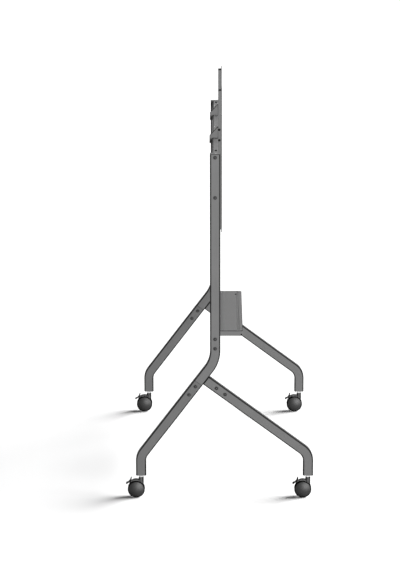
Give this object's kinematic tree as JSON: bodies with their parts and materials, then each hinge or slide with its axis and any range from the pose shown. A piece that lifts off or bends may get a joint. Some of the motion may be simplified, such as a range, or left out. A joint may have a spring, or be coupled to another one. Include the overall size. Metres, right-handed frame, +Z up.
{
  "type": "mobile tv stand",
  "caption": "Wide rolling floor stand for a flat display: bent-tube side frames on braked casters, cross bars, sliding hang-on rails and a front tray.",
  "frame": {"origin": "on the floor, under the middle of the stand's overall box", "axes": "+X forward, towards the display; +Y to the left of someone facing +X; +Z up"},
  "size_m": [0.8237, 1.2996, 1.767],
  "materials": {
    "frame_paint": "satin dark grey powder coat on bent steel tube",
    "rail_paint": "satin dark grey powder coat on folded steel",
    "tray_paint": "satin dark grey powder coat on pressed sheet",
    "zinc_steel": "zinc plated steel",
    "black_steel": "blackened steel set screw",
    "black_plastic": "black moulded plastic with a fine grain",
    "wheel_rubber": "dark satin moulded wheel"
  },
  "bodies": {
    "stand": {"upright_left": "frame_paint", "rear_joiner_left": "zinc_steel", "rear_leg_left": "frame_paint", "front_leg_left": "frame_paint", "upright_cap_left": "frame_paint", "upright_right": "frame_paint", "rear_joiner_right": "zinc_steel", "rear_leg_right": "frame_paint", "front_leg_right": "frame_paint", "upright_cap_right": "frame_paint", "foot_plug_front_left": "black_plastic", "caster_stem_front_left": "zinc_steel", "foot_plug_rear_left": "black_plastic", "caster_stem_rear_left": "zinc_steel", "foot_plug_front_right": "black_plastic", "caster_stem_front_right": "zinc_steel", "foot_plug_rear_right": "black_plastic", "caster_stem_rear_right": "zinc_steel", "top_bar": "frame_paint", "top_bar_block_left": "zinc_steel", "top_bar_block_right": "zinc_steel", "middle_bar": "frame_paint", "middle_bar_block_left": "zinc_steel", "middle_bar_block_right": "zinc_steel", "lower_bar": "frame_paint", "lower_bar_block_left": "zinc_steel", "lower_bar_block_right": "zinc_steel", "tray": "tray_paint", "tray_bracket_left": "tray_paint", "tray_bracket_right": "tray_paint"},
    "left_rail": {"display_rail_left": "rail_paint", "rail_hook_left": "rail_paint", "lock_screw_left": "black_steel", "rail_plug_top_left": "black_plastic", "rail_plug_bottom_left": "black_plastic"},
    "right_rail": {"display_rail_right": "rail_paint", "rail_hook_right": "rail_paint", "lock_screw_right": "black_steel", "rail_plug_top_right": "black_plastic", "rail_plug_bottom_right": "black_plastic"},
    "swivel_front_left": {"caster_hood_front_left": "black_plastic", "caster_axle_front_left": "zinc_steel"},
    "wheel_front_left_left": {"caster_wheel_front_left_left": "wheel_rubber"},
    "wheel_front_left_right": {"caster_wheel_front_left_right": "wheel_rubber"},
    "brake_front_left": {"brake_pedal_front_left": "black_plastic"},
    "swivel_rear_left": {"caster_hood_rear_left": "black_plastic", "caster_axle_rear_left": "zinc_steel"},
    "wheel_rear_left_left": {"caster_wheel_rear_left_left": "wheel_rubber"},
    "wheel_rear_left_right": {"caster_wheel_rear_left_right": "wheel_rubber"},
    "brake_rear_left": {"brake_pedal_rear_left": "black_plastic"},
    "swivel_front_right": {"caster_hood_front_right": "black_plastic", "caster_axle_front_right": "zinc_steel"},
    "wheel_front_right_left": {"caster_wheel_front_right_left": "wheel_rubber"},
    "wheel_front_right_right": {"caster_wheel_front_right_right": "wheel_rubber"},
    "brake_front_right": {"brake_pedal_front_right": "black_plastic"},
    "swivel_rear_right": {"caster_hood_rear_right": "black_plastic", "caster_axle_rear_right": "zinc_steel"},
    "wheel_rear_right_left": {"caster_wheel_rear_right_left": "wheel_rubber"},
    "wheel_rear_right_right": {"caster_wheel_rear_right_right": "wheel_rubber"},
    "brake_rear_right": {"brake_pedal_rear_right": "black_plastic"}
  },
  "joints": [
    {"name": "rail_slide_left", "type": "slide", "parent": "stand", "child": "left_rail", "axis": [0, 1, 0], "range_m": [-0.25, 0.27]},
    {"name": "rail_slide_right", "type": "slide", "parent": "stand", "child": "right_rail", "axis": [0, 1, 0], "range_m": [-0.27, 0.25]},
    {"name": "swivel_front_left", "type": "hinge", "parent": "stand", "child": "swivel_front_left", "pos_m": [0.38938, 0.626, 0.0922], "axis": [0, 0, 1], "continuous": true},
    {"name": "roll_front_left_left", "type": "hinge", "parent": "swivel_front_left", "child": "wheel_front_left_left", "pos_m": [0.36738, 0.626, 0.0375], "axis": [0, 1, 0], "continuous": true},
    {"name": "roll_front_left_right", "type": "hinge", "parent": "swivel_front_left", "child": "wheel_front_left_right", "pos_m": [0.36738, 0.626, 0.0375], "axis": [0, 1, 0], "continuous": true},
    {"name": "brake_front_left", "type": "hinge", "parent": "swivel_front_left", "child": "brake_front_left", "pos_m": [0.33993, 0.626, 0.07189], "axis": [0, -1, 0], "range_deg": [0, 12]},
    {"name": "swivel_rear_left", "type": "hinge", "parent": "stand", "child": "swivel_rear_left", "pos_m": [-0.34412, 0.626, 0.0922], "axis": [0, 0, 1], "continuous": true},
    {"name": "roll_rear_left_left", "type": "hinge", "parent": "swivel_rear_left", "child": "wheel_rear_left_left", "pos_m": [-0.36612, 0.626, 0.0375], "axis": [0, 1, 0], "continuous": true},
    {"name": "roll_rear_left_right", "type": "hinge", "parent": "swivel_rear_left", "child": "wheel_rear_left_right", "pos_m": [-0.36612, 0.626, 0.0375], "axis": [0, 1, 0], "continuous": true},
    {"name": "brake_rear_left", "type": "hinge", "parent": "swivel_rear_left", "child": "brake_rear_left", "pos_m": [-0.39357, 0.626, 0.07189], "axis": [0, -1, 0], "range_deg": [0, 12]},
    {"name": "swivel_front_right", "type": "hinge", "parent": "stand", "child": "swivel_front_right", "pos_m": [0.38938, -0.626, 0.0922], "axis": [0, 0, 1], "continuous": true},
    {"name": "roll_front_right_left", "type": "hinge", "parent": "swivel_front_right", "child": "wheel_front_right_left", "pos_m": [0.36738, -0.626, 0.0375], "axis": [0, 1, 0], "continuous": true},
    {"name": "roll_front_right_right", "type": "hinge", "parent": "swivel_front_right", "child": "wheel_front_right_right", "pos_m": [0.36738, -0.626, 0.0375], "axis": [0, 1, 0], "continuous": true},
    {"name": "brake_front_right", "type": "hinge", "parent": "swivel_front_right", "child": "brake_front_right", "pos_m": [0.33993, -0.626, 0.07189], "axis": [0, -1, 0], "range_deg": [0, 12]},
    {"name": "swivel_rear_right", "type": "hinge", "parent": "stand", "child": "swivel_rear_right", "pos_m": [-0.34412, -0.626, 0.0922], "axis": [0, 0, 1], "continuous": true},
    {"name": "roll_rear_right_left", "type": "hinge", "parent": "swivel_rear_right", "child": "wheel_rear_right_left", "pos_m": [-0.36612, -0.626, 0.0375], "axis": [0, 1, 0], "continuous": true},
    {"name": "roll_rear_right_right", "type": "hinge", "parent": "swivel_rear_right", "child": "wheel_rear_right_right", "pos_m": [-0.36612, -0.626, 0.0375], "axis": [0, 1, 0], "continuous": true},
    {"name": "brake_rear_right", "type": "hinge", "parent": "swivel_rear_right", "child": "brake_rear_right", "pos_m": [-0.39357, -0.626, 0.07189], "axis": [0, -1, 0], "range_deg": [0, 12]}
  ]
}
